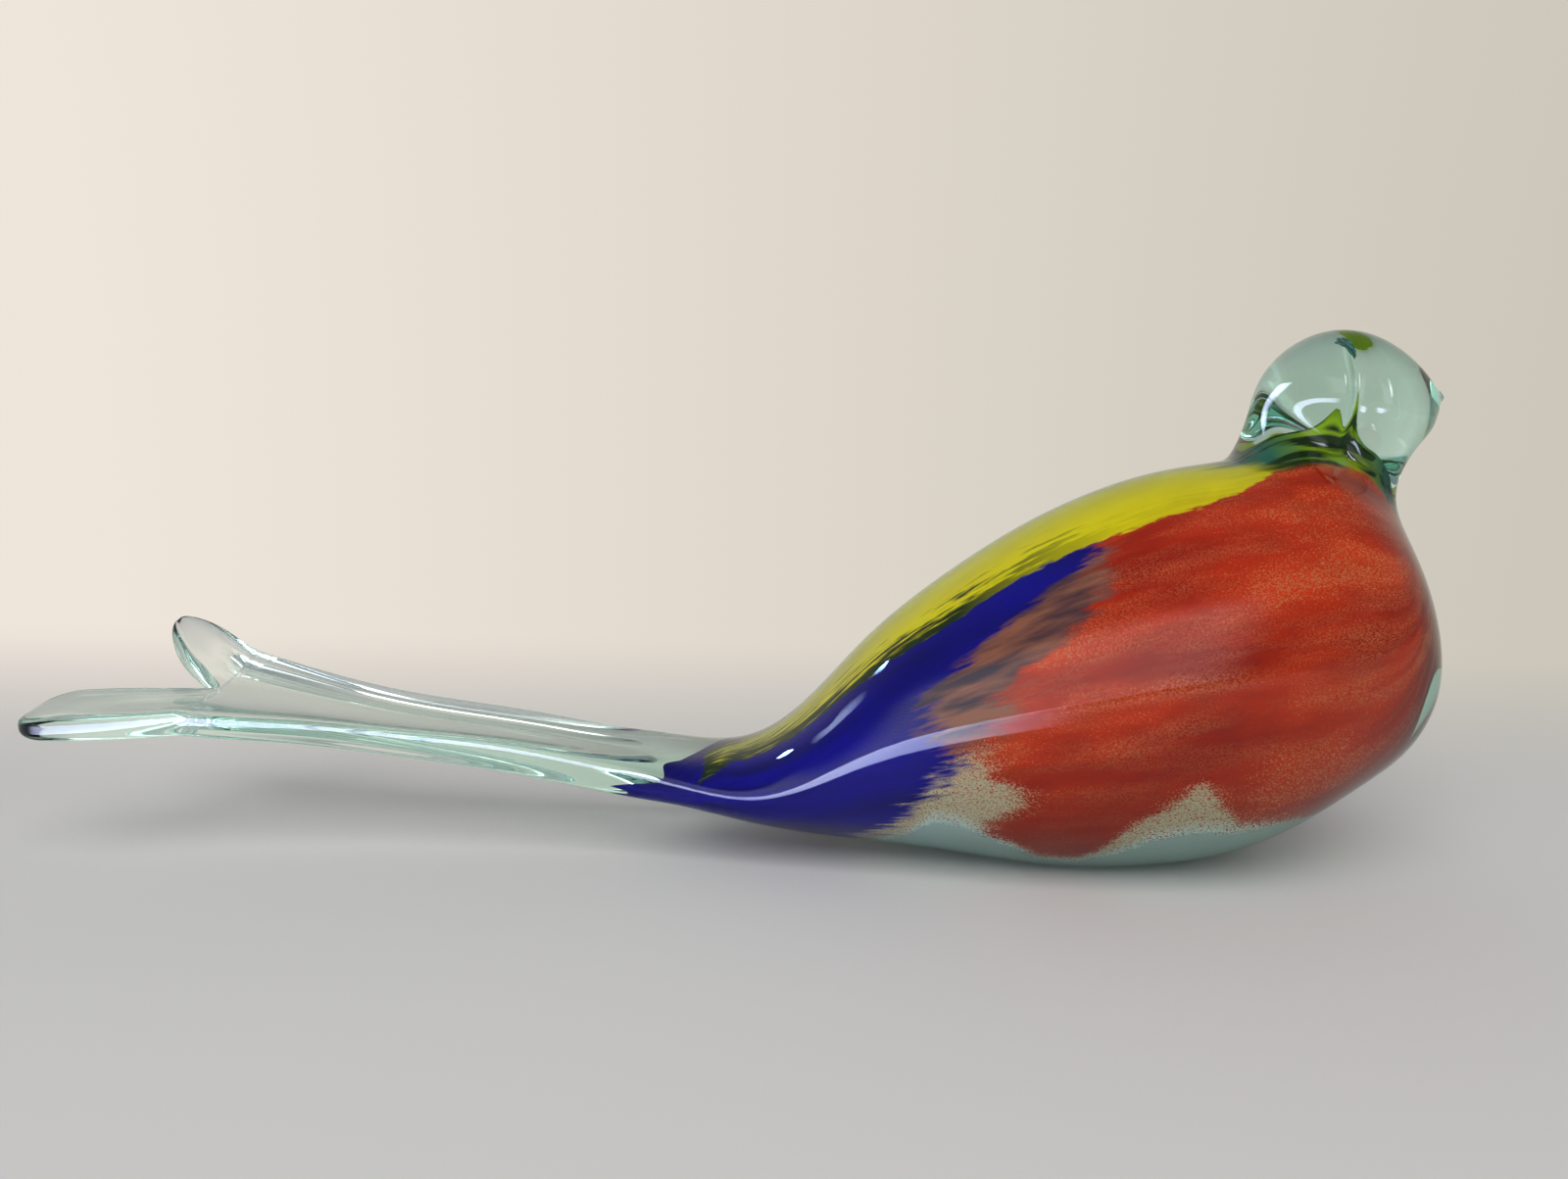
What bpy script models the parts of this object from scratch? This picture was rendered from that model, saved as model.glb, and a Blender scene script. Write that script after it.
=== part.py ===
"""A long-tailed bird worked hot from one gather of glass: one solid piece, standing on a ground flat.

Metres, +Z up. The head points along +X, the tail along -X, and the origin is the centre of the ground flat.
"""

import bmesh
import bpy
import numpy as np

# Driving dimensions.
LENGTH = 0.2812  # beak to the bottom of the fork; the pose and the outline are shares of it
BODY_WIDTH = 0.078  # widest place of the breast
TAIL_WIDTH = 0.043  # across the two thick rims, at the bottom of the fork
TAIL_THICKNESS = 0.0058  # of a rim, at the bottom of the fork
WEB_SHARE = 0.45  # thickness of the web between the rims, against a rim
TAIL_SQUARENESS = 0.5  # 1 is an ellipse, 0.5 a flat ribbon with round edges
TAIL_TWIST = 0.075  # slope of the ribbon across its width, at the bottom of the fork
TWIST_START = 0.5  # where the twist begins, as a share of the way from the ground flat to the fork
CURL = 0.0019  # how far the far rim curls up, at the bottom of the fork
CURL_START = 0.8  # where the curl begins, as a share of the same way
CURL_EASE = 0.004  # half-width of the strip along the middle in which the curl eases out
FLAT_DEPTH = 0.0015  # glass ground off under the belly, so that the bird stands

# The fork: the shears opened it, and the fire rounded its edge.
FORK_RADIUS = 0.0035  # at the bottom of the notch
EDGE_ROUND = 0.0016  # how far the notch's edge bulges out

# Each lobe past the bottom of the fork. Splay is the slope of its side of the notch away from the middle,
# spread is how much further out its rim runs, and rise is how far its tip turns up, by the power RISE_POWER
# of the share of the way to it. Tip is the length over which its end rounds off.
NEAR_LOBE = {"side": -1, "length": 0.0333, "splay": 0.36, "spread": 0.0065, "rise": 0.0015, "tip": 0.0075}
FAR_LOBE = {"side": 1, "length": 0.0181, "splay": 0.59, "spread": 0.0020, "rise": 0.0088, "tip": 0.0108}
RISE_POWER = 1.2

# Facets.
HALF_RING = 16  # from the back line round one side to the belly line
EDGE_RING = 8  # from the belly side to the back side, on a lobe's inner edge
ROWS_PER_STATION = 3
LOBE_ROWS = 20
MERGE = 0.000001  # points closer than this are one, where two grids share a ring
HALVINGS = 40  # steps of the search for the groove that leaves the web its thickness

# Places in the two tables below are in thousandths of LENGTH.
THOUSANDTH = 0.001

# The tail from the bottom of the fork: x and z of the ribbon's middle, its width and thickness as shares of
# TAIL_WIDTH and TAIL_THICKNESS, and its flatness, from 0 for a round section to 1 for a grooved ribbon.
TAIL = (
    (-725.1, 129.4, 1.00, 1.00, 1.0),
    (-673.5, 122.3, 0.90, 1.00, 1.0),
    (-629.1, 116.3, 0.77, 1.02, 1.0),
    (-565.1, 106.0, 0.68, 1.10, 1.0),
    (-472.6, 95.0, 0.66, 1.30, 0.9),
    (-401.5, 80.0, 0.65, 1.45, 0.7),
)

# The body, neck, head and beak: x and z of the back, x and z of the belly, half-width as a share of
# BODY_WIDTH / 2, and flatness. The rings fan round the nape, then round the throat.
BODY = (
    (-337.5, 91.7, -337.5, 53.0, 0.40, 0.3),
    (-280.6, 90.3, -280.6, 34.5, 0.49, 0.0),
    (-230.8, 128.0, -230.8, 23.5, 0.56, 0.0),
    (-181.0, 192.4, -173.2, 18.5, 0.69, 0.0),
    (-116.6, 244.3, -101.7, 10.7, 0.83, 0.0),
    (-45.9, 293.0, -30.9, -2.1, 0.94, 0.0),
    (32.4, 327.2, 46.9, 1.4, 0.99, 0.0),
    (82.5, 336.4, 111.0, 11.0, 1.00, 0.0),
    (105.3, 340.0, 166.4, 36.3, 0.98, 0.0),
    (108.8, 341.4, 213.7, 70.8, 0.94, 0.0),
    (113.1, 344.6, 258.5, 99.9, 0.87, 0.0),
    (115.9, 349.2, 284.1, 156.1, 0.80, 0.0),
    (118.1, 356.3, 267.4, 237.9, 0.64, 0.0),
    (119.8, 367.7, 244.7, 287.7, 0.42, 0.0),
    (122.0, 384.8, 239.7, 311.9, 0.30, 0.0),
    (128.7, 405.4, 239.3, 333.6, 0.45, 0.0),
    (145.8, 429.6, 246.1, 350.6, 0.53, 0.0),
    (173.9, 447.0, 258.2, 362.4, 0.44, 0.0),
    (206.6, 446.3, 263.2, 369.5, 0.32, 0.0),
    (233.3, 429.9, 265.3, 375.9, 0.24, 0.0),
    (248.2, 416.4, 267.1, 380.9, 0.17, 0.0),
    (257.8, 408.6, 269.2, 385.1, 0.11, 0.0),
    (266.0, 402.6, 271.3, 388.7, 0.07, 0.0),
    (272.0, 397.9, 274.2, 391.9, 0.04, 0.0),
    (274.9, 394.7, 274.9, 394.7, 0.00, 0.0),
)


def spline(points, samples):
    """Uniform cubic B-spline whose ends reach the first and last point, smooth to the second derivative."""
    ends = np.vstack([2 * points[0] - points[1], points, 2 * points[-1] - points[-2]])
    index = np.minimum(samples.astype(int), len(points) - 2)
    t = (samples - index)[:, None]
    weights = (
        (1 - t) ** 3,
        3 * t**3 - 6 * t**2 + 4,
        -3 * t**3 + 3 * t**2 + 3 * t + 1,
        t**3,
    )
    return sum(weight * ends[index + k] for k, weight in enumerate(weights)) / 6


def section_height(turn, groove, squareness):
    """Height of a section at each turn from the back (0) to the belly (pi), 1 at its thickest.

    With c = |cos(turn)|, p = squareness and g = groove it is c^p * (1 - g * c^2). That is a superellipse for
    g = 0, and has a thin web between two thick rims once g is over p / (p + 2).
    """
    c = np.abs(np.cos(turn))
    ridge = min(squareness / (squareness + 2) / groove, 1.0) if groove > 0 else 1.0
    thickest = ridge ** (squareness / 2) * (1 - groove * ridge)
    return np.sign(np.cos(turn)) * c**squareness * (1 - groove * c**2) / thickest


def section_width(turn, squareness):
    """Distance of a section's outline from its middle line at each turn, 1 at its widest."""
    return np.sin(turn).clip(0) ** squareness


def groove_for_web(share):
    """The g of section_height whose web is this share of a rim, found by halving."""
    low, high = 0.0, 1.0
    for _ in range(HALVINGS):
        middle = (low + high) / 2
        if section_height(np.zeros(1), middle, TAIL_SQUARENESS)[0] > share:
            low = middle
        else:
            high = middle
    return low


def ring_rows():
    """For each ring from the fork to the beak: middle (x, z), middle to back (x, z), half-width, flatness."""
    scale = LENGTH * THOUSANDTH
    stations = []
    for x, z, width, thickness, flatness in TAIL:
        half_width = width * TAIL_WIDTH / 2
        stations.append((x * scale, z * scale, 0.0, thickness * TAIL_THICKNESS / 2, half_width, flatness))
    for back_x, back_z, belly_x, belly_z, width, flatness in BODY:
        middle = ((back_x + belly_x) / 2 * scale, (back_z + belly_z) / 2 * scale)
        to_back = ((back_x - belly_x) / 2 * scale, (back_z - belly_z) / 2 * scale)
        stations.append((*middle, *to_back, width * BODY_WIDTH / 2, flatness))
    count = (len(stations) - 1) * ROWS_PER_STATION + 1
    return spline(np.array(stations), np.linspace(0, len(stations) - 1, count))


def bird_body(rows):
    """Grid of full rings, rows by columns by xyz. Columns run down the near side and up the far side."""
    turn = np.linspace(0, np.pi, HALF_RING + 1)
    grid = []
    for x, z, to_back_x, to_back_z, half_width, flatness in rows:
        squareness = 1 - flatness * (1 - TAIL_SQUARENESS)
        height = section_height(turn, flatness * groove_for_web(WEB_SHARE), squareness)
        width = half_width * section_width(turn, squareness)
        near = np.stack([x + to_back_x * height, -width, z + to_back_z * height], -1)
        far = near * (1, -1, 1)
        grid.append(np.vstack([near, far[-2:0:-1]]))
    return np.array(grid)


def tail_lobe(first_row, lobe):
    """Grid of closed rings from the bottom of the fork to the tip of one lobe.

    At a distance s past its bottom the notch is splay * sqrt(s^2 + 2 * r * s) wide each side: round at first,
    then straight. Near the tip each ring shrinks as a circle does, so the lobe ends round.
    """
    x_fork, z_fork, _, half_thickness, half_width, _ = first_row
    turn = np.linspace(0, np.pi, HALF_RING + 1)
    edge_turn = np.linspace(0, np.pi, EDGE_RING + 1)[1:-1]
    grid = []
    for angle in np.linspace(0, np.pi, LOBE_ROWS + 1):
        share = (1 - np.cos(angle)) / 2
        reach = lobe["length"] * share
        root = np.sqrt(reach**2 + 2 * FORK_RADIUS * reach)
        notch = lobe["splay"] * root
        rim = half_width + lobe["spread"] * share * (2 - share)
        groove = groove_for_web(WEB_SHARE) * (1 - share)
        height = half_thickness * section_height(turn, groove, TAIL_SQUARENESS)
        outer_y = notch + (rim - notch) * section_width(turn, TAIL_SQUARENESS)
        outer = np.stack([np.full(turn.shape, x_fork - reach), outer_y, z_fork + height], -1)

        # The edge bulges square to the notch's outline: straight back at its bottom, sideways further on.
        outline = np.array([root, lobe["splay"] * (reach + FORK_RADIUS)])
        bulge = EDGE_ROUND * (1 + share) * np.sin(edge_turn)[:, None] * outline[::-1] / np.hypot(*outline)
        edge_z = z_fork - height[0] * np.cos(edge_turn)
        inner = np.column_stack([x_fork - reach - bulge[:, 0], notch - bulge[:, 1], edge_z])

        ring = np.vstack([outer, inner])
        middle = np.array([x_fork - reach, (notch + rim) / 2, z_fork])
        into_tip = max(reach - lobe["length"] + lobe["tip"], 0.0) / lobe["tip"]
        ring = middle + (ring - middle) * np.sqrt(1 - into_tip**2)
        ring[:, 2] += lobe["rise"] * share**RISE_POWER
        grid.append(ring * (1, lobe["side"], 1))
    return np.array(grid)


def twist_tail(grid, x_fork):
    """Tilts the ribbon across its width and curls its far rim up.

    Both grow with the square of the distance from where they begin. Across the width the curl grows as
    sqrt(y^2 + CURL_EASE^2) + y does, so it spares the near side.
    """
    y = grid[..., 1]
    twist, curl = (
        np.clip((start * x_fork - grid[..., 0]) / (start * x_fork - x_fork), 0, None) ** 2
        for start in (TWIST_START, CURL_START)
    )
    far = (np.hypot(y, CURL_EASE) + y) / TAIL_WIDTH
    grid[..., 2] += TAIL_TWIST * y * twist + CURL * far * curl
    return grid


def add_grid(bm, grid):
    """Joins each ring of points to the next with quads."""
    rings = [[bm.verts.new(point) for point in ring] for ring in grid]
    for first, second in zip(rings, rings[1:]):
        for k in range(len(first)):
            after = (k + 1) % len(first)
            bm.faces.new((first[k], first[after], second[after], second[k]))


def grind_flat(bm):
    """Lowers the bird by FLAT_DEPTH below the ground, cuts it there and centres the flat on the origin."""
    lowest = min(vert.co.z for vert in bm.verts)
    bmesh.ops.translate(bm, verts=bm.verts, vec=(0, 0, -lowest - FLAT_DEPTH))
    cut = bmesh.ops.bisect_plane(
        bm,
        geom=bm.verts[:] + bm.edges[:] + bm.faces[:],
        plane_co=(0, 0, 0),
        plane_no=(0, 0, 1),
        clear_inner=True,
    )
    outline = [item for item in cut["geom_cut"] if isinstance(item, bmesh.types.BMEdge)]
    bmesh.ops.contextual_create(bm, geom=outline)
    ends = [vert.co.x for edge in outline for vert in edge.verts]
    bmesh.ops.translate(bm, verts=bm.verts, vec=(-(min(ends) + max(ends)) / 2, 0, 0))


def glass():
    material = bpy.data.materials.new("glass")
    material.use_nodes = True
    shader = material.node_tree.nodes["Principled BSDF"]
    shader.inputs["Base Color"].default_value = (0.55, 0.78, 0.70, 1.0)
    shader.inputs["Metallic"].default_value = 0.0
    shader.inputs["Roughness"].default_value = 0.03
    shader.inputs["IOR"].default_value = 1.5
    shader.inputs["Transmission Weight"].default_value = 1.0
    return material


def glass_bird():
    rows = ring_rows()
    x_fork = rows[0][0]
    bm = bmesh.new()
    for grid in (bird_body(rows), tail_lobe(rows[0], NEAR_LOBE), tail_lobe(rows[0], FAR_LOBE)):
        add_grid(bm, twist_tail(grid, x_fork))
    bmesh.ops.remove_doubles(bm, verts=bm.verts, dist=MERGE)
    grind_flat(bm)
    bmesh.ops.recalc_face_normals(bm, faces=bm.faces)
    mesh = bpy.data.meshes.new("glass_bird")
    bm.to_mesh(mesh)
    bm.free()
    mesh.materials.append(glass())
    return bpy.data.objects.new("glass_bird", mesh)


for leftover in list(bpy.data.objects):
    bpy.data.objects.remove(leftover, do_unlink=True)
bpy.context.scene.collection.objects.link(glass_bird())
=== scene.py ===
"""A long-tailed bird of clear aqua glass, with yellow, blue and red glass sealed in its body."""

import math

import bmesh
import bpy
import numpy as np
from mathutils import Matrix, Vector


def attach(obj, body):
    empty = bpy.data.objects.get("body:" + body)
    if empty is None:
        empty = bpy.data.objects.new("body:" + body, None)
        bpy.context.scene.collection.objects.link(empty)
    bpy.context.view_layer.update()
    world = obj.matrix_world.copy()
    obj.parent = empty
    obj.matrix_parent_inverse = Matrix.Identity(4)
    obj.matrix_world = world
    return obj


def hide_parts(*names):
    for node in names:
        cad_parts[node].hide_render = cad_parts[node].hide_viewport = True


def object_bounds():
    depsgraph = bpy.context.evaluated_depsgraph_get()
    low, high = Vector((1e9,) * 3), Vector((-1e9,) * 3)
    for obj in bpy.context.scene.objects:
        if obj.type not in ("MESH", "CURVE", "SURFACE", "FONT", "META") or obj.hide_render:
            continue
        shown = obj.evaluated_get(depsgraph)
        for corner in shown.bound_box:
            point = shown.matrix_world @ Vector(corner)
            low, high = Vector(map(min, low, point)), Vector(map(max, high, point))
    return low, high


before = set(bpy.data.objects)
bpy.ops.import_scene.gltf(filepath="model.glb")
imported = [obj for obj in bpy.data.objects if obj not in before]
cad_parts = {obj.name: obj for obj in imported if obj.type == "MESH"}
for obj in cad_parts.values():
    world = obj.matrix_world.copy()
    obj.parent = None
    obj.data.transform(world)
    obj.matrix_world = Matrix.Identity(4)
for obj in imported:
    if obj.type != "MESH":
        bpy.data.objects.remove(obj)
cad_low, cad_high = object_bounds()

# The camera stands a hand's breadth above the floor and looks slightly down at the bird's side. Its lens is a
# short one, as in a pocket camera held close, so the near side of the breast looms.
MM = 0.001
FRAME_WIDTH = 1600
FOCAL_PIXELS = 1200
SENSOR = 36.0
EYE = (-70.9 * MM, -270.4 * MM, 104.95 * MM)
LOOKS_DOWN = 8.94
LEANS = 1.11
NEAREST = 0.01
FARTHEST = 20.0

camera_data = bpy.data.cameras.new("camera")
camera_data.sensor_width = SENSOR
camera_data.lens = SENSOR * FOCAL_PIXELS / FRAME_WIDTH
camera_data.clip_start = NEAREST
camera_data.clip_end = FARTHEST
camera = bpy.data.objects.new("camera", camera_data)
bpy.context.scene.collection.objects.link(camera)
bpy.context.scene.camera = camera
camera.matrix_world = (
    Matrix.Translation(EYE)
    @ Matrix.Rotation(math.radians(90 - LOOKS_DOWN), 4, "X")
    @ Matrix.Rotation(math.radians(LEANS), 4, "Z")
)

# The bird itself is one gather of clear soda-lime glass, drawn and pinched hot: the tail pulled to a ribbon
# and snipped into two lobes, the neck necked in with jacks, the beak pinched, and the cheek creased with a
# blade. It cooled with a fire-polished skin, and is ground flat where it stands.
LENGTH = 281.2 * MM
BODY_WIDTH = 78 * MM
TAIL_WIDTH = 43 * MM
TAIL_THICKNESS = 5.8 * MM
TAIL_SQUARENESS = 0.5
TAIL_GROOVE = 0.7405
LEAST_GROOVE = 0.001
TAIL_TWIST = 0.075
TWIST_START = 0.5
CURL = 1.9 * MM
CURL_START = 0.8
CURL_EASE = 4.0 * MM
FLAT_DEPTH = 1.5 * MM
FORK_RADIUS = 3.5 * MM
EDGE_ROUND = 1.6 * MM
NEAR_LOBE = {
    "side": -1, "length": 33.3 * MM, "splay": 0.36, "spread": 6.5 * MM, "rise": 1.5 * MM, "tip": 7.5 * MM,
}
FAR_LOBE = {
    "side": 1, "length": 18.1 * MM, "splay": 0.59, "spread": 2.0 * MM, "rise": 8.8 * MM, "tip": 10.8 * MM,
}
RISE_POWER = 1.2
CREASE_X = 51.5 * MM
CREASE_WIDTH = 2.6 * MM
CREASE_DEPTH = 0.22
CREASE_EASE = 8 * MM
NECK_HEIGHT = 93 * MM
HALF_RING = 64
EDGE_RING = 32
ROWS_PER_STATION = 12
LOBE_ROWS = 96
WELD = 0.001 * MM
THOUSANDTH = 0.001

# In thousandths of the length: x and z of the ribbon's middle. Then width and thickness as shares, flatness.
TAIL = (
    (-725.1, 129.4, 1.00, 1.00, 1.0),
    (-673.5, 122.3, 0.90, 1.00, 1.0),
    (-629.1, 116.3, 0.77, 1.02, 1.0),
    (-565.1, 106.0, 0.68, 1.10, 1.0),
    (-472.6, 95.0, 0.66, 1.30, 0.9),
    (-401.5, 80.0, 0.65, 1.45, 0.7),
)

# In thousandths of the length: x and z of the back, x and z of the belly. Then half-width as a share of the
# body's, flatness.
BODY = (
    (-337.5, 91.7, -337.5, 53.0, 0.40, 0.3),
    (-280.6, 90.3, -280.6, 34.5, 0.49, 0.0),
    (-230.8, 128.0, -230.8, 23.5, 0.56, 0.0),
    (-181.0, 192.4, -173.2, 18.5, 0.69, 0.0),
    (-116.6, 244.3, -101.7, 10.7, 0.83, 0.0),
    (-45.9, 293.0, -30.9, -2.1, 0.94, 0.0),
    (32.4, 327.2, 46.9, 1.4, 0.99, 0.0),
    (82.5, 336.4, 111.0, 11.0, 1.00, 0.0),
    (105.3, 340.0, 166.4, 36.3, 0.98, 0.0),
    (108.8, 341.4, 213.7, 70.8, 0.94, 0.0),
    (113.1, 344.6, 258.5, 99.9, 0.87, 0.0),
    (115.9, 349.2, 284.1, 156.1, 0.80, 0.0),
    (118.1, 356.3, 267.4, 237.9, 0.64, 0.0),
    (119.8, 367.7, 244.7, 287.7, 0.42, 0.0),
    (122.0, 384.8, 239.7, 311.9, 0.30, 0.0),
    (128.7, 405.4, 239.3, 333.6, 0.45, 0.0),
    (145.8, 429.6, 246.1, 350.6, 0.53, 0.0),
    (173.9, 447.0, 258.2, 362.4, 0.44, 0.0),
    (206.6, 446.3, 263.2, 369.5, 0.32, 0.0),
    (233.3, 429.9, 265.3, 375.9, 0.24, 0.0),
    (248.2, 416.4, 267.1, 380.9, 0.17, 0.0),
    (257.8, 408.6, 269.2, 385.1, 0.11, 0.0),
    (266.0, 402.6, 271.3, 388.7, 0.07, 0.0),
    (272.0, 397.9, 274.2, 391.9, 0.04, 0.0),
    (274.9, 394.7, 274.9, 394.7, 0.00, 0.0),
)


def spline(points, per_point):
    """Uniform cubic B-spline that starts at the first point and ends at the last: each sample is four points
    weighted by the cubic basis of its place between them."""
    ends = np.vstack([2 * points[0] - points[1], points, 2 * points[-1] - points[-2]])
    samples = np.linspace(0, len(points) - 1, (len(points) - 1) * per_point + 1)
    index = np.minimum(samples.astype(int), len(points) - 2)
    t = (samples - index)[:, None]
    weights = ((1 - t) ** 3, 3 * t**3 - 6 * t**2 + 4, -3 * t**3 + 3 * t**2 + 3 * t + 1, t**3)
    return sum(weight * ends[index + k] for k, weight in enumerate(weights)) / 6


def section_height(turn, groove, squareness):
    """Height of a section at each turn from the back: cosine to the power of the squareness, thinned in the
    middle by the groove times cosine squared, and scaled to 1 at its thickest."""
    c = np.abs(np.cos(turn))
    ridge = np.minimum(squareness / (squareness + 2) / np.maximum(groove, LEAST_GROOVE), 1.0)
    thickest = ridge ** (squareness / 2) * (1 - groove * ridge)
    return np.sign(np.cos(turn)) * c**squareness * (1 - groove * c**2) / thickest


def section_width(turn, squareness):
    """Signed distance of a section's outline from its middle line: sine to the power of the squareness."""
    return np.sign(np.sin(turn)) * np.abs(np.sin(turn)) ** squareness


def stations():
    """The two tables as one, in metres: middle x and z, middle to back x and z, half-width, flatness."""
    scale = LENGTH * THOUSANDTH
    tail = np.array(TAIL)
    body = np.array(BODY)
    tail_rows = np.column_stack([
        tail[:, 0] * scale,
        tail[:, 1] * scale,
        np.zeros(len(tail)),
        tail[:, 3] * TAIL_THICKNESS / 2,
        tail[:, 2] * TAIL_WIDTH / 2,
        tail[:, 4],
    ])
    body_rows = np.column_stack([
        (body[:, 0:2] + body[:, 2:4]) / 2 * scale,
        (body[:, 0:2] - body[:, 2:4]) / 2 * scale,
        body[:, 4] * BODY_WIDTH / 2,
        body[:, 5],
    ])
    return np.vstack([tail_rows, body_rows])


def ring_grid(rows, columns):
    """Rings round the bird's middle line. A point is the middle, plus the way to the back times the section's
    height, and out to the near side by the half-width times the section's width."""
    turn = np.linspace(0, 2 * np.pi, columns, endpoint=False)
    x, z, to_back_x, to_back_z, half_width, flatness = rows.T[:, :, None]
    squareness = 1 - flatness * (1 - TAIL_SQUARENESS)
    height = section_height(turn, flatness * TAIL_GROOVE, squareness)
    across = -half_width * section_width(turn, squareness)
    return np.stack([x + to_back_x * height, across, z + to_back_z * height], -1)


def lobe_grid(first_row, lobe):
    """Rings of one tail lobe from the bottom of the fork. At a distance s the notch is splay times the root
    of s squared plus two r s wide each side, the rim runs outward, and the end closes as a circle does."""
    x_fork, z_fork, _, half_thickness, half_width, _ = first_row
    turn = np.linspace(0, np.pi, HALF_RING + 1)
    edge_turn = np.linspace(0, np.pi, EDGE_RING + 1)[1:-1]
    share = (1 - np.cos(np.linspace(0, np.pi, LOBE_ROWS + 1)))[:, None] / 2
    reach = lobe["length"] * share
    root = np.sqrt(reach**2 + 2 * FORK_RADIUS * reach)
    notch = lobe["splay"] * root
    rim = half_width + lobe["spread"] * share * (2 - share)
    height = half_thickness * section_height(turn, TAIL_GROOVE * (1 - share), TAIL_SQUARENESS)
    outer_y = notch + (rim - notch) * section_width(turn, TAIL_SQUARENESS)
    outer = np.stack([np.broadcast_to(x_fork - reach, outer_y.shape), outer_y, z_fork + height], -1)

    # The notch's edge bulges square to its outline: straight back at the bottom, sideways further on.
    slope = lobe["splay"] * (reach + FORK_RADIUS)
    bulge = EDGE_ROUND * (1 + share) * np.sin(edge_turn) / np.hypot(root, slope)
    edge_z = z_fork - height[:, :1] * np.cos(edge_turn)
    inner = np.stack([x_fork - reach - bulge * slope, notch - bulge * root, edge_z], -1)

    ring = np.concatenate([outer, inner], 1)
    middle = np.stack([x_fork - reach, (notch + rim) / 2, np.full_like(reach, z_fork)], -1)
    into_tip = np.maximum(reach - lobe["length"] + lobe["tip"], 0.0) / lobe["tip"]
    ring = middle + (ring - middle) * np.sqrt(1 - into_tip**2)[:, :, None]
    ring[:, :, 2] += lobe["rise"] * share**RISE_POWER
    return ring * (1, lobe["side"], 1)


def twist_tail(grid, x_fork):
    """Tilts the ribbon across its width, by the square of the distance from where the twist begins, and curls
    its far rim up in the same way: the curl grows with y on the far side and eases out near the middle."""
    y = grid[..., 1]
    into_twist, into_curl = [
        np.clip((start * x_fork - grid[..., 0]) / (start * x_fork - x_fork), 0, None) ** 2
        for start in (TWIST_START, CURL_START)
    ]
    far = (np.hypot(y, CURL_EASE) + y) / TAIL_WIDTH
    grid[..., 2] += TAIL_TWIST * y * into_twist + CURL * far * into_curl
    return grid


def crease_head(grid):
    """Narrows the head along an upright line on its near cheek: y shrinks by a bell curve of the distance
    along x, from nothing at the neck to the full depth, a share of the half-width, a little above it."""
    bell = np.exp(-(((grid[..., 0] - CREASE_X) / CREASE_WIDTH) ** 2))
    above_neck = np.clip((grid[..., 2] - NECK_HEIGHT) / CREASE_EASE, 0, 1)
    near_side = grid[..., 1] < 0
    grid[..., 1] *= 1 - CREASE_DEPTH * near_side * bell * above_neck**2 * (3 - 2 * above_neck)
    return grid


def tube_faces(rows, columns, start):
    """Quads between neighbouring rings of a grid whose points are numbered row by row from start: a point,
    the next one round, and the same two a row further on."""
    first = start + np.arange(rows - 1)[:, None] * columns + np.arange(columns)
    following = start + np.arange(rows - 1)[:, None] * columns + (np.arange(columns) + 1) % columns
    return np.stack([first, following, following + columns, first + columns]).reshape(4, -1).T


def mesh_piece(name, grids, material, fields=None):
    """A smooth closed mesh of rings joined by quads, its doubles merged and its faces turned outwards. A
    field is a vector kept at every point under its name, for the material to read."""
    points = np.concatenate([grid.reshape(-1, 3) for grid in grids])
    starts = np.cumsum([0] + [grid.shape[0] * grid.shape[1] for grid in grids[:-1]])
    faces = np.concatenate([tube_faces(*grid.shape[:2], start) for grid, start in zip(grids, starts)])
    mesh = bpy.data.meshes.new(name)
    mesh.from_pydata(points.tolist(), [], faces.tolist())
    for field_name, field in (fields or {}).items():
        layer = mesh.attributes.new(field_name, "FLOAT_VECTOR", "POINT")
        layer.data.foreach_set("vector", field.reshape(-1).astype(np.float32))
    bm = bmesh.new()
    bm.from_mesh(mesh)
    bmesh.ops.remove_doubles(bm, verts=bm.verts, dist=WELD)
    bmesh.ops.recalc_face_normals(bm, faces=bm.faces)
    bm.to_mesh(mesh)
    bm.free()
    mesh.shade_smooth()
    mesh.materials.append(material)
    piece = bpy.data.objects.new(name, mesh)
    bpy.context.scene.collection.objects.link(piece)
    return piece


def linear(hex_colour):
    """An sRGB hex colour as linear RGBA: the sRGB curve undone for each channel."""
    channels = np.array([int(hex_colour[k : k + 2], 16) for k in (1, 3, 5)]) / 255
    return (*np.where(channels > 0.04045, ((channels + 0.055) / 1.055) ** 2.4, channels / 12.92), 1.0)


def empty_nodes(owner):
    """A material, light or world, with its shader nodes turned on and cleared."""
    owner.use_nodes = True
    owner.node_tree.nodes.clear()
    return owner


def add_node(owner, kind, inputs=(), **settings):
    """A shader node with its settings made and its inputs filled in, by name or in their order. What goes in
    is a value, the output of another node, or a node, which stands for its first output."""
    node = owner.node_tree.nodes.new("ShaderNode" + kind)
    for name, value in settings.items():
        setattr(node, name, value)
    in_order = [socket for socket in node.inputs if socket.enabled]
    pairs = inputs.items() if isinstance(inputs, dict) else enumerate(inputs)
    for key, source in pairs:
        socket = node.inputs[key] if isinstance(key, str) else in_order[key]
        if isinstance(source, bpy.types.Node):
            source = next(output for output in source.outputs if output.enabled)
        if isinstance(source, bpy.types.NodeSocket):
            owner.node_tree.links.new(source, socket)
        else:
            socket.default_value = source
    return node


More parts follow.
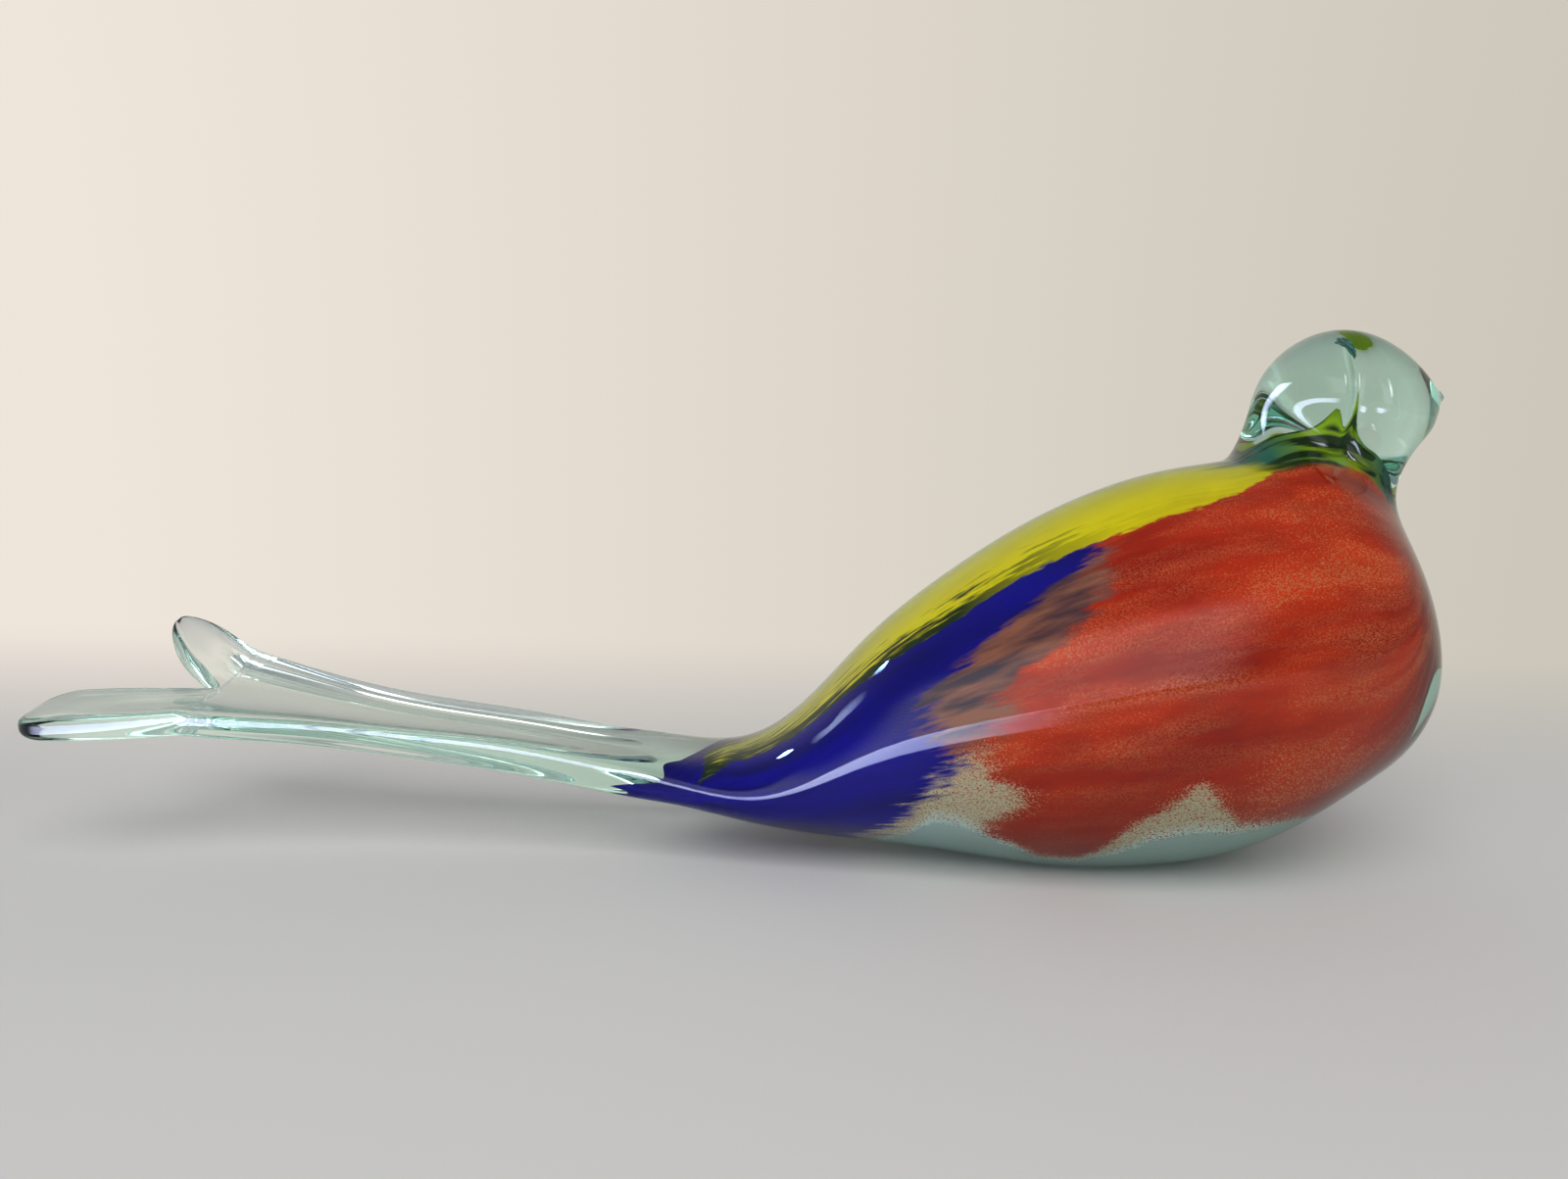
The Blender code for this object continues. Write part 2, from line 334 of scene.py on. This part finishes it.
# Soda-lime glass with a trace of iron: colourless where thin, pale aqua through the head, teal along the
# rims, where light runs the long way through; there a painted shade also tints the skin teal where it is seen
# edge-on. Fire-polished, so almost perfectly smooth, with faint smears of handling a finger wide.
SMEAR_SIZE = 25 * MM
clear_glass = empty_nodes(bpy.data.materials.new("aqua_soda_lime_glass"))
place = add_node(clear_glass, "TexCoord").outputs["Object"]
smear = add_node(clear_glass, "TexNoise", {"Vector": place, "Scale": 1 / SMEAR_SIZE, "Detail": 4.0})
polish = add_node(clear_glass, "MapRange", [smear, 0.45, 0.75, 0.0, 0.035])
# Painted shade: a teal tint on the skin's colour, growing where the skin is seen edge-on.
grazing = add_node(clear_glass, "LayerWeight", {"Blend": 0.5}).outputs["Facing"]
rim = add_node(clear_glass, "MapRange", [grazing, 0.45, 0.95])
painted_rim_shade = add_node(clear_glass, "Mix", [rim, linear("#FFFFFF"), linear("#2E8670")], data_type="RGBA")
glass_skin = add_node(
    clear_glass,
    "BsdfPrincipled",
    {"Base Color": painted_rim_shade, "Roughness": polish, "IOR": 1.51, "Transmission Weight": 1.0},
)
iron_tint = add_node(clear_glass, "VolumeAbsorption", {"Color": linear("#7FD6C6"), "Density": 22.0})
add_node(clear_glass, "OutputMaterial", {"Surface": glass_skin, "Volume": iron_tint})

rows = spline(stations(), ROWS_PER_STATION)
fork_x = rows[0, 0]
straight_skin = [ring_grid(rows, 2 * HALF_RING), lobe_grid(rows[0], NEAR_LOBE), lobe_grid(rows[0], FAR_LOBE)]
skin = [twist_tail(grid, fork_x) for grid in straight_skin]
lowest = min(grid[..., 2].min() for grid in skin)
foremost = max(grid[..., 0].max() for grid in skin)
to_frame = np.array([cad_high[0] - foremost, 0.0, -lowest - FLAT_DEPTH])
for grid in skin:
    grid += to_frame
    grid[..., 2] = np.maximum(grid[..., 2], 0.0)
    crease_head(grid)
bird = mesh_piece("clear_glass_bird", skin, clear_glass)
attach(bird, "root")
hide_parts("glass_bird")

# The colour is crushed coloured glass that the first gather was rolled in: opaque yellow down the back,
# cobalt blue on the flanks behind, orange-red over the breast. Clear glass was gathered over it, and when the
# bird was drawn out it ran to a thin end in the tail and to green threads in the neck.
CORE_HALF_RING = 96
CORE_ROWS_PER_STATION = 16
FRONT_SHIFT = 5 * MM
FRONT_START = 40 * MM
FRONT_REACH = 22 * MM
END_SHIFT = 8 * MM
END_START = -83 * MM
END_REACH = 12 * MM
PEAK_X = 54.5 * MM
PEAK_Y = -1 * MM
PEAK_HEIGHT = 26 * MM
PEAK_WIDTH = 4.2 * MM
PEAK_FOOT = 52 * MM
PEAK_EASE = 20 * MM
BACK_STRETCH = 2.4
FRONT_STRETCH = 3.8
FLOW_RADIUS = 30 * MM
CAP_LENGTH = 9 * MM
BLUNT_END = -89.5 * MM

# x and z of its back, x and z of its belly, and its half-width, in millimetres.
CORE = (
    (-110.0, 19.4, -110.0, 19.4, 0.0),
    (-102.5, 19.7, -102.5, 18.0, 2.5),
    (-95.5, 19.4, -96.0, 16.8, 4.5),
    (-90.5, 19.6, -91.5, 15.6, 7.5),
    (-85.0, 22.8, -87.0, 14.2, 13.0),
    (-78.9, 23.0, -78.9, 11.8, 15.0),
    (-64.9, 33.2, -64.9, 9.0, 18.0),
    (-50.9, 51.5, -48.7, 8.0, 23.0),
    (-32.8, 66.2, -28.6, 6.5, 28.5),
    (-12.9, 79.8, -8.7, 4.5, 32.5),
    (9.1, 89.5, 13.2, 5.0, 34.0),
    (23.2, 91.8, 28.0, 7.0, 34.0),
    (36.0, 92.8, 40.0, 10.5, 33.0),
    (47.0, 92.0, 50.0, 16.0, 30.0),
    (55.0, 86.0, 57.5, 24.5, 25.5),
    (58.5, 83.5, 63.2, 34.3, 20.7),
    (61.3, 80.5, 65.2, 44.5, 14.9),
    (63.7, 73.0, 65.8, 52.5, 8.9),
    (65.7, 60.0, 65.7, 60.0, 0.0),
)

# Where the colours meet: how far round from the back, in radians, at stations along the core, whose first row
# is number -2. The blue's end and the red's beginning are the other way about: the station at each turn.
FIRST_STATION = -2
YELLOW_EDGE = (
    (0, 0.90), (2.0, 0.75), (2.5, 0.52), (3.2, 0.48), (4.1, 0.56), (5.0, 0.65), (5.8, 0.65), (6.6, 0.57),
    (7.8, 0.57), (8.7, 0.52), (9.4, 0.44), (10.0, 0.33), (10.8, 0.28), (12.0, 0.22), (13.0, -0.30),
    (16, -0.60),
)
FAR_YELLOW_EDGE = ((0, 0.55), (4, 0.60), (8, 0.65), (9.5, 1.50), (12.4, 1.50), (13.4, 0.20), (16, -0.60))
BLUE_EDGE = (
    (0.00, 8.00), (0.62, 7.40), (0.75, 7.00), (0.85, 6.60), (0.90, 6.15), (1.01, 5.90), (1.11, 5.60),
    (1.34, 5.45), (1.50, 5.60), (1.60, 5.85), (1.77, 5.82), (1.87, 5.58), (2.00, 5.50), (2.13, 5.42),
    (2.29, 5.05), (2.60, 4.70), (3.20, 4.50),
)
RED_EDGE = (
    (0.00, 8.00), (0.62, 7.40), (0.85, 7.45), (1.01, 7.35), (1.06, 7.15), (1.18, 6.70), (1.28, 6.40),
    (1.47, 6.30), (1.67, 6.12), (1.83, 6.30), (1.93, 6.65), (2.06, 6.69), (2.19, 6.50), (2.32, 6.12),
    (2.60, 5.80), (3.20, 5.50),
)
RED_LOWER_EDGE = (
    (0, 3.60), (5.5, 1.90), (6.1, 2.20), (6.5, 2.35), (6.8, 2.57), (7.2, 2.55), (7.5, 2.30), (7.8, 2.12),
    (8.2, 2.00), (8.4, 1.94), (8.6, 2.03), (8.9, 2.17), (9.1, 2.28), (9.6, 2.34), (10.4, 2.46),
    (10.9, 2.57), (11.8, 2.70), (12.6, 2.82), (13.2, 3.60), (16, 3.60),
)
BELLY_EDGE = (
    (0, 3.60), (4.4, 3.60), (5.0, 2.70), (5.6, 2.19), (5.9, 2.23), (6.1, 2.32), (6.4, 2.45), (6.8, 2.64),
    (7.2, 2.70), (7.7, 2.50), (7.9, 2.40), (8.3, 2.36), (8.6, 2.36), (9.1, 2.42), (9.9, 2.43), (10.4, 2.50),
    (10.9, 2.60), (11.8, 2.72), (12.6, 2.86), (13.2, 3.60), (16, 3.60),
)


def core_rings():
    """The core's rings: middle, way to the back and half-width of each station, along the same spline."""
    table = np.array(CORE) * MM
    middle = (table[:, 0:2] + table[:, 2:4]) / 2
    to_back = (table[:, 0:2] - table[:, 2:4]) / 2
    round_sections = np.zeros(len(table))
    return spline(np.column_stack([middle, to_back, table[:, 4], round_sections]), CORE_ROWS_PER_STATION)


def draw_up_peak(grid):
    """Draws the core's top up to a thin spike in the neck: z grows by the peak's height times e to the power
    of minus the distance from the peak over its width. Along x that distance is divided by a stretch."""
    ahead = grid[..., 0] - PEAK_X
    stretched = ahead / np.where(ahead > 0, FRONT_STRETCH, BACK_STRETCH)
    from_peak = np.hypot(stretched, grid[..., 1] - PEAK_Y)
    on_top = np.clip((grid[..., 2] - PEAK_FOOT) / PEAK_EASE, 0, 1)
    grid[..., 2] += PEAK_HEIGHT * on_top * np.exp(-from_peak / PEAK_WIDTH)
    return grid


def shift_ends(grid):
    """Moves both ends of the core toward the near side: y falls with the square of the way into the front,
    and with the way into the tail's end."""
    into_front = np.clip((grid[..., 0] - FRONT_START) / FRONT_REACH, 0, 1)
    into_end = np.clip((END_START - grid[..., 0]) / END_REACH, 0, 1)
    grid[..., 1] -= FRONT_SHIFT * into_front**2 + END_SHIFT * into_end
    return grid


def follow_table(table, at):
    """A table's second column read at places along its first, straight between its rows."""
    first, second = np.array(table).T
    return np.interp(at, first, second)


def colour_fields(line):
    """Three vectors at each point of the core. Flow is the distance along the middle line, and a circle of
    fixed radius round it, which closes at the front as a sphere's cap does: by the root of t times 2 less t.
    Edges are distances: below the yellow, ahead of the blue's end, ahead of the red's beginning. Cover is the
    distances above the bare belly and above the red's lower edge, and the turn from the back."""
    station = FIRST_STATION + np.linspace(0, len(CORE) - 1, len(line))[:, None]
    turn = np.linspace(0, 2 * np.pi, 2 * CORE_HALF_RING, endpoint=False)[None]
    from_back = np.minimum(turn, 2 * np.pi - turn)
    steps = np.hypot(*np.diff(line[:, :2], axis=0).T)
    along = np.concatenate([[0], np.cumsum(steps)])[:, None]
    radius = (np.hypot(line[:, 2], line[:, 3]) + line[:, 4])[:, None] / 2
    to_front = np.clip((along[-1] - along) / CAP_LENGTH, 0, 1)
    flow_radius = FLOW_RADIUS * np.sqrt(to_front * (2 - to_front))

    def ahead_of(table):
        """Distance along the middle line from the station where an edge crosses each turn."""
        return along - np.interp(follow_table(table, from_back), station[:, 0], along[:, 0])

    def above(table):
        """Distance round the ring up to an edge: the difference in turn times the ring's mean radius."""
        return (follow_table(table, station) - from_back) * radius

    below_yellow = np.where(turn <= np.pi, -above(YELLOW_EDGE), -above(FAR_YELLOW_EDGE))
    below_yellow = np.maximum(below_yellow, BLUNT_END - line[:, :1])
    fields = {
        "flow": (along, flow_radius * np.cos(turn), flow_radius * np.sin(turn)),
        "edges": (below_yellow, ahead_of(BLUE_EDGE), ahead_of(RED_EDGE)),
        "cover": (above(BELLY_EDGE), above(RED_LOWER_EDGE), from_back),
    }
    return {name: np.stack(np.broadcast_arrays(*parts), -1) for name, parts in fields.items()}


# Crushed soda-lime glass, opaque where it lies thick, and dull, as the clear glass round it has nearly the
# same index. Grains under half a millimetre are drawn into streaks along the body, and lie apart low down.
frit = empty_nodes(bpy.data.materials.new("coloured_frit"))
flow, edges, cover = [
    add_node(frit, "Attribute", attribute_name=name).outputs["Vector"] for name in ("flow", "edges", "cover")
]
under_yellow, past_blue_end, past_red_start = add_node(frit, "SeparateXYZ", [edges]).outputs
above_belly, above_red_edge, from_back = add_node(frit, "SeparateXYZ", [cover]).outputs
core_x, _, core_z = add_node(frit, "SeparateXYZ", [add_node(frit, "TexCoord").outputs["Object"]]).outputs


def drawn_noise(length, width, detail):
    """Noise in the flow's coordinates: one over a feature's length along the body, and one over its width
    round it."""
    scale = (1 / length, 1 / width, 1 / width)
    stretched = add_node(frit, "Mapping", {"Vector": flow, "Scale": scale})
    return add_node(frit, "TexNoise", {"Vector": stretched, "Scale": 1.0, "Detail": detail})


def ragged(edge, strays, start, end):
    """A mask that goes smoothly from 0 at one distance to 1 at another, after each stray has moved the edge:
    a stray is a noise and how far its values carry, to either side of its middle value."""
    moved = edge
    for noise, carry in strays:
        centred = add_node(frit, "Math", [noise, 0.5], operation="SUBTRACT")
        moved = add_node(frit, "Math", [centred, 2 * carry, moved], operation="MULTIPLY_ADD")
    return add_node(frit, "MapRange", [moved, start, end], interpolation_type="SMOOTHSTEP")


def laid_over(colour, *layers):
    """A colour with others laid over it in turn: a layer is a mask, and a colour that shows where it is 1."""
    for mask, layer_colour in layers:
        colour = add_node(frit, "Mix", [mask, colour, layer_colour], data_type="RGBA")
    return colour


# The sizes of what was drawn out along the body, from clouds of flecks down to single grains.
cloud = drawn_noise(35.71 * MM, 9.091 * MM, 4.0)
haze = drawn_noise(22.22 * MM, 4.167 * MM, 8.0)
streak = drawn_noise(16.67 * MM, 2.381 * MM, 3.0)
fine_streak = drawn_noise(3.846 * MM, 0.7692 * MM, 2.0)
stroke = drawn_noise(14.29 * MM, 1.111 * MM, 2.0)
grain = drawn_noise(0.4348 * MM, 0.2564 * MM, 4.0)

deep = add_node(frit, "MapRange", [cloud, 0.35, 0.65])
low_side = add_node(frit, "MapRange", [from_back, 1.50, 1.70])
# The bare ground: beige over the belly, and below it a pale milky aqua that is painted light, standing in for
# the lit floor seen through the clear belly.
over_belly = add_node(frit, "MapRange", [above_belly, -1 * MM, 4 * MM])
ground_and_painted_belly_light = laid_over(linear("#E6FFF8"), (over_belly, linear("#DAD2B0")))

# Red grains cover the ground but for clouds of flecks, and thin out at their lower edge and their start.
thick_cloud = add_node(frit, "MapRange", [cloud, 0.38, 0.60, 0.36, 0.98])
near_edge = ragged(above_red_edge, [(cloud, 6 * MM)], -6 * MM, 3 * MM)
low_start = ragged(past_red_start, [(cloud, 8 * MM)], -8 * MM, 7 * MM)
upper_side = add_node(frit, "Math", [1.0, low_side], operation="SUBTRACT")
near_start = add_node(frit, "Math", [low_start, upper_side], operation="MAXIMUM")
laid = add_node(frit, "Math", [near_edge, near_start], operation="MULTIPLY")
thickness = add_node(frit, "Math", [laid, thick_cloud], operation="MULTIPLY")
fill = add_node(frit, "MapRange", [thickness, 0.0, 1.0, 0.40, 0.80])
shown = add_node(frit, "Math", [fill, grain], operation="SUBTRACT")
red_grain = add_node(frit, "MapRange", [shown, -0.10, 0.06])

pale_haze = add_node(frit, "MapRange", [haze, 0.40, 0.68, 0.05, 0.60])
pale_grain = add_node(frit, "MapRange", [grain, 0.40, 0.60])
pale = add_node(frit, "Math", [pale_haze, pale_grain], operation="MULTIPLY")
# Painted shade: the red turns darker toward the underside, away from the light above.
painted_underside_shade = add_node(frit, "MapRange", [from_back, 1.6, 2.3, 0.0, 0.6])
red_dust = add_node(frit, "MapRange", [laid, 0.2, 0.9])
red_glass = laid_over(
    linear("#F24610"),
    (deep, linear("#B22404")),
    (pale, linear("#F09060")),
    (painted_underside_shade, linear("#A01C06")),
)
red = laid_over(ground_and_painted_belly_light, (red_dust, linear("#E8905E")), (red_grain, red_glass))

# Blue runs out over the bare ground in ragged tongues, and between it and the red the two mix to brown.
dark_streak = add_node(frit, "MapRange", [streak, 0.38, 0.64])
past_blue = ragged(past_blue_end, [(streak, 10 * MM), (fine_streak, 6 * MM)], -3 * MM, 4 * MM)
into_red = ragged(past_red_start, [(streak, 12 * MM), (fine_streak, 6 * MM)], -4 * MM, 4 * MM)
covered = add_node(frit, "MapRange", [above_belly, -2 * MM, 0.0])
blue = laid_over(linear("#150CA4"), (deep, linear("#0C087A")))
brown = laid_over(linear("#B0745C"), (dark_streak, linear("#46384C")))
between = laid_over(brown, (low_side, red))
flank = laid_over(ground_and_painted_belly_light, (covered, laid_over(blue, (past_blue, between), (into_red, red))))

# Yellow down the back, with dark green strokes where it thins out over the blue.
below_yellow = ragged(under_yellow, [(streak, 1 * MM), (fine_streak, 1.5 * MM)], -0.4 * MM, 0.4 * MM)
green_reach = ragged(under_yellow, [(stroke, 10 * MM), (fine_streak, 4 * MM)], -6 * MM, -2 * MM)
beside_blue = add_node(frit, "MapRange", [past_blue_end, -30 * MM, 2 * MM, 1.0, 0.08])
green_stroke = add_node(frit, "Math", [green_reach, beside_blue], operation="MULTIPLY")
yellow = laid_over(linear("#FFF000"), (deep, linear("#F4E200")), (green_stroke, linear("#26400F")))

# Where the neck was drawn out, the colour thins into green threads. Teal at the throat and the nape is
# painted shade, standing in for the dark teal of light that runs the long way through the neck.
throat_drop = add_node(frit, "MapRange", [core_x, 56 * MM, 64 * MM, 0.0, 10 * MM])
neck_height = add_node(frit, "Math", [core_z, throat_drop], operation="ADD")
drawn_neck = ragged(neck_height, [(streak, 2 * MM)], 90.5 * MM, 93 * MM)
# Painted shade in dark teal at the throat and the nape.
painted_throat_shade = add_node(frit, "MapRange", [core_x, 55 * MM, 61 * MM])
painted_nape_shade = add_node(frit, "MapRange", [core_x, 45 * MM, 39 * MM])
dark_thread = add_node(frit, "MapRange", [streak, 0.50, 0.58])
threads = laid_over(
    linear("#A4BC14"),
    (painted_throat_shade, linear("#1C6A5C")),
    (painted_nape_shade, linear("#2C7468")),
    (dark_thread, linear("#203C12")),
)
colour = laid_over(yellow, (below_yellow, flank), (drawn_neck, threads))

# Bare of grains, the belly is a milky aqua that lets some light through, painted pale as the lit floor seen
# through it.
grains_end = ragged(above_belly, [(streak, 1.5 * MM), (grain, 2 * MM)], -1.5 * MM, 0.5 * MM)
milky = add_node(frit, "MapRange", [grains_end, 0.0, 1.0, 0.65, 1.0])
laid_glass = add_node(frit, "BsdfPrincipled", {"Base Color": colour, "Roughness": 0.8, "IOR": 1.05})
see_through = add_node(frit, "BsdfTransparent")
frit_shader = add_node(frit, "MixShader", [milky, see_through, laid_glass])
add_node(frit, "OutputMaterial", {"Surface": frit_shader})

core_line = core_rings()
core_grid = shift_ends(draw_up_peak(ring_grid(core_line, 2 * CORE_HALF_RING))) + to_frame
core_line[:, 0] += to_frame[0]
core = mesh_piece("colour_core", [core_grid], frit, colour_fields(core_line))
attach(core, "root")

# A small torn scar under the crown, at the top of the crease, such as a cold tool leaves. It is the same
# aqua glass, crumpled, and closed over just under the skin.
SCAR_PLACE = (51.5 * MM, -6.2 * MM, 118.5 * MM)
SCAR_HALF_SIZE = (1.8 * MM, 0.9 * MM, 2.1 * MM)
SCAR_TILT = 0.6
SCAR_ROWS = 49
SCAR_COLUMNS = 64
BIG_FOLDS = 0.28
SMALL_FOLDS = 0.16
CRACK_SIZE = 1.111 * MM


def crumpled_ball(rows, columns):
    """A ball of radius 1, plus the big folds' depth times the sine of 5 turns and 3 polars times that of 4
    polars, plus the small folds' depth times the sine of 9 turns less 7 polars times that of the polar."""
    polar = np.linspace(0, np.pi, rows)[:, None]
    turn = np.linspace(0, 2 * np.pi, columns, endpoint=False)[None]
    big = BIG_FOLDS * np.sin(5 * turn + 3 * polar) * np.sin(4 * polar)
    small = SMALL_FOLDS * np.sin(9 * turn - 7 * polar) * np.sin(polar)
    ball = np.broadcast_arrays(np.sin(polar) * np.cos(turn), np.sin(polar) * np.sin(turn), np.cos(polar))
    return np.stack(ball, -1) * (1 + big + small)[..., None]


# Soda-lime glass full of small cracks, which hold the light back: dark teal, with paler cracks a millimetre
# apart, and less glossy than the skin, since clear glass lies round it.
cracked_glass = empty_nodes(bpy.data.materials.new("crumpled_aqua_glass"))
scar_place = add_node(cracked_glass, "TexCoord").outputs["Object"]
cracks = add_node(cracked_glass, "TexNoise", {"Vector": scar_place, "Scale": 1 / CRACK_SIZE, "Detail": 4.0})
cracked = add_node(cracked_glass, "MapRange", [cracks, 0.42, 0.60])
scar_colour = add_node(
    cracked_glass,
    "Mix",
    [cracked, linear("#104E4A"), linear("#58A89A")],
    data_type="RGBA",
)
scar_shader = add_node(
    cracked_glass,
    "BsdfPrincipled",
    {"Base Color": scar_colour, "Roughness": 0.35, "IOR": 1.3},
)
add_node(cracked_glass, "OutputMaterial", {"Surface": scar_shader})

scar_grid = crumpled_ball(SCAR_ROWS, SCAR_COLUMNS) * SCAR_HALF_SIZE
scar_grid[..., 2] -= SCAR_TILT * scar_grid[..., 0]
scar = mesh_piece("crown_scar", [scar_grid + SCAR_PLACE], cracked_glass)
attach(scar, "root")

# A plain pale floor of matt paper, a hair below the ground flat. Behind the bird it glows with painted light
# in the colour that the warm white backdrop has in the same direction, so that the two run together.
FLOOR_HALF = 3.0
FLOOR_DROP = 0.1 * MM
BACKDROP_START = 20 * MM
BACKDROP_FULL = 260 * MM


def backdrop_colour(owner, toward):
    """The backdrop's warm white, brighter on the left as its light falls off to the right: a mix by the
    direction's x.
    """
    x = add_node(owner, "SeparateXYZ", [toward]).outputs["X"]
    across = add_node(owner, "MapRange", [x, -0.50, 0.55])
    return add_node(owner, "Mix", [across, linear("#DDD5CC"), linear("#C0BBB1")], data_type="RGBA")


paper = empty_nodes(bpy.data.materials.new("matt_pale_paper"))
floor_place = add_node(paper, "TexCoord").outputs["Object"]
floor_y = add_node(paper, "SeparateXYZ", [floor_place]).outputs["Y"]
behind = add_node(
    paper,
    "MapRange",
    [floor_y, BACKDROP_START, BACKDROP_FULL],
    interpolation_type="SMOOTHSTEP",
)
under_camera = (EYE[0], EYE[1], 0.0)
from_camera = add_node(paper, "VectorMath", [floor_place, under_camera], operation="SUBTRACT")
floor_bearing = add_node(paper, "VectorMath", [from_camera], operation="NORMALIZE")
matt_paper = add_node(
    paper,
    "BsdfPrincipled",
    {"Base Color": linear("#CECECD"), "Roughness": 1.0, "Specular IOR Level": 0.0},
)
# Painted light: behind the bird the paper glows in the backdrop's colour.
painted_glow_paper = add_node(paper, "Emission", {"Color": backdrop_colour(paper, floor_bearing), "Strength": 1.0})
floor_shader = add_node(paper, "MixShader", [behind, matt_paper, painted_glow_paper])
add_node(paper, "OutputMaterial", {"Surface": floor_shader})

floor_mesh = bpy.data.meshes.new("floor")
corners = [(x * FLOOR_HALF, y * FLOOR_HALF, -FLOOR_DROP) for x, y in ((-1, -1), (1, -1), (1, 1), (-1, 1))]
floor_mesh.from_pydata(corners, [], [(0, 1, 2, 3)])
floor_mesh.materials.append(paper)
floor = bpy.data.objects.new("floor", floor_mesh)
bpy.context.scene.collection.objects.link(floor)

# The light is soft: a wide panel in front, and a low one that fills in under the belly. Four more shed none
# and only show as highlights: a lamp on the saddle, a slit and a bar on the head, each too narrow to show
# anywhere else, and a low board along the flank.
BOARD_FADES = ((0.85, 0.35), (0.0, 0.22))


def soft_panel(name, aim, bearing, rise, distance, size, power, hex_colour, only_gloss=False, spread=180):
    """An area light that faces its aim from a bearing and a rise in degrees, and shines within its spread. It
    either shows in the gloss and sheds no light, or sheds light and doesn't show in the gloss."""
    data = bpy.data.lights.new(name, "AREA")
    data.shape = "RECTANGLE"
    data.size, data.size_y = size
    data.energy = power
    data.spread = math.radians(spread)
    data.color = linear(hex_colour)[:3]
    panel = bpy.data.objects.new(name, data)
    bearing, rise = math.radians(bearing), math.radians(rise)
    away = Vector((math.cos(bearing) * math.cos(rise), math.sin(bearing) * math.cos(rise), math.sin(rise)))
    turned = (-away).to_track_quat("-Z", "Y").to_matrix().to_4x4()
    panel.matrix_world = Matrix.Translation(Vector(aim) + distance * away) @ turned
    panel.visible_camera = False
    panel.visible_glossy = only_gloss
    panel.visible_diffuse = panel.visible_transmission = not only_gloss
    bpy.context.scene.collection.objects.link(panel)
    return panel


def soft_edged(owner, fades):
    """The product of smooth steps, each from 0 at one value of a coordinate to 1 at another."""
    mask = 1.0
    for coordinate, dark, bright in fades:
        step = add_node(owner, "MapRange", [coordinate, dark, bright], interpolation_type="SMOOTHSTEP")
        mask = add_node(owner, "Math", [step, mask], operation="MULTIPLY")
    return mask


soft_panel(
    "front_panel", aim=(0, 0, 50 * MM), bearing=-96, rise=48, distance=1.5,
    size=(1.3, 1.0), power=12.5, hex_colour="#FFFDFA",
)
soft_panel(
    "lamp", aim=(-68 * MM, -25 * MM, 27 * MM), bearing=147, rise=38, distance=0.33,
    size=(0.03, 0.03), power=0.0010, hex_colour="#9CC4FF", only_gloss=True, spread=12,
)
soft_panel(
    "slit", aim=(36 * MM, -10 * MM, 105 * MM), bearing=164, rise=20, distance=0.33,
    size=(0.10, 0.10), power=0.014, hex_colour="#CFE0FF", only_gloss=True, spread=27,
)
soft_panel(
    "head_bar", aim=(56 * MM, -12 * MM, 108 * MM), bearing=-78, rise=33, distance=0.06,
    size=(0.016, 0.040), power=0.0011, hex_colour="#F4F8FF", only_gloss=True, spread=42,
)
low_board = soft_panel(
    "low_board", aim=(-50 * MM, -30 * MM, 30 * MM), bearing=-121, rise=-6, distance=0.19,
    size=(0.46, 0.070), power=1.1, hex_colour="#D6DEFF", only_gloss=True,
)
soft_panel(
    "low_fill", aim=(0, 0, 20 * MM), bearing=-100, rise=3, distance=0.7,
    size=(0.9, 0.12), power=0.8, hex_colour="#FFFFFF",
)

# The board's light fades out toward both its ends.
board = empty_nodes(low_board.data)
board_place = add_node(board, "NewGeometry").outputs["Parametric"]
along_board = add_node(board, "SeparateXYZ", [board_place]).outputs["X"]
board_strength = soft_edged(board, [(along_board, dark, bright) for dark, bright in BOARD_FADES])
add_node(board, "OutputLight", {"Surface": add_node(board, "Emission", {"Strength": board_strength})})

# The studio that the glass mirrors: the lit backdrop behind the bird, grey at the sides and overhead, and in
# front one wide soft box whose edges fade.
SOFT_BOX_LIGHT = 1.4
SOFT_BOX_FADES = (
    ("X", -0.85, -0.65), ("X", 0.35, 0.15), ("Y", -0.2, -0.5), ("Z", 0.66, 0.50), ("Z", -0.1, 0.0),
)

studio = empty_nodes(bpy.data.worlds.new("studio"))
toward = add_node(studio, "TexCoord").outputs["Generated"]
toward_axes = add_node(studio, "SeparateXYZ", [toward]).outputs
at_back = add_node(studio, "MapRange", [toward_axes["Y"], 0.0, 0.75])
overhead = add_node(studio, "MapRange", [toward_axes["Z"], 0.45, 0.95])
lit_backdrop = add_node(
    studio,
    "Mix",
    [overhead, backdrop_colour(studio, toward), linear("#8E9094")],
    data_type="RGBA",
)
surround_colour = add_node(studio, "Mix", [at_back, linear("#8C8E92"), lit_backdrop], data_type="RGBA")
surround = add_node(studio, "Background", {"Color": surround_colour, "Strength": 1.0})
soft_box = add_node(studio, "Background", {"Color": linear("#FBFCFF"), "Strength": SOFT_BOX_LIGHT})
in_box = soft_edged(studio, [(toward_axes[axis], dark, bright) for axis, dark, bright in SOFT_BOX_FADES])
add_node(studio, "OutputWorld", {"Surface": add_node(studio, "MixShader", [in_box, surround, soft_box])})
bpy.context.scene.world = studio

# How often light may pass through the glass and its core, and how the picture's tones are shown.
scene = bpy.context.scene
scene.view_settings.view_transform = "Standard"
scene.view_settings.look = "Medium High Contrast"
scene.cycles.max_bounces = 24
scene.cycles.transmission_bounces = 20
scene.cycles.glossy_bounces = 12
scene.cycles.diffuse_bounces = 4
scene.cycles.use_denoising = True
